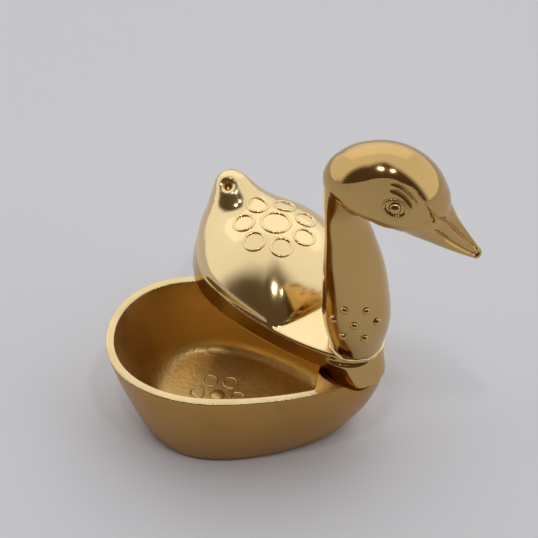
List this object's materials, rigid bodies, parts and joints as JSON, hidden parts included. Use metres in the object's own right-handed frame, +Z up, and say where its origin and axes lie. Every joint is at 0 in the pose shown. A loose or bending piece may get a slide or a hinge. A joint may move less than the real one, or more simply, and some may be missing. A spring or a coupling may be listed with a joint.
{
  "type": "kumkum box",
  "caption": "Swan-shaped brass box for kumkum powder: an egg-shaped cup, a domed lid that swivels aside under the neck, and a neck with a beaked head.",
  "frame": {"origin": "middle of the flat base that the box stands on, on the cup's plane of symmetry", "axes": "+X towards the beak, +Z up, +Y to the side that the lid has swung to"},
  "size_m": [0.07, 0.0539, 0.0726],
  "materials": {
    "polished_brass": "polished",
    "satin_brass": "satin outside, matte cast inside",
    "plain_brass": "plain"
  },
  "bodies": {
    "cup_side": {"cup": "satin_brass", "neck_and_head": "polished_brass", "pivot_rivet": "plain_brass", "pivot_washer": "plain_brass"},
    "lid": {"lid": "polished_brass"}
  },
  "joints": [
    {"name": "lid_swivel", "type": "hinge", "parent": "cup_side", "child": "lid", "pos_m": [0.022, 0, 0.0215], "axis": [0, 0, 1], "continuous": true}
  ]
}
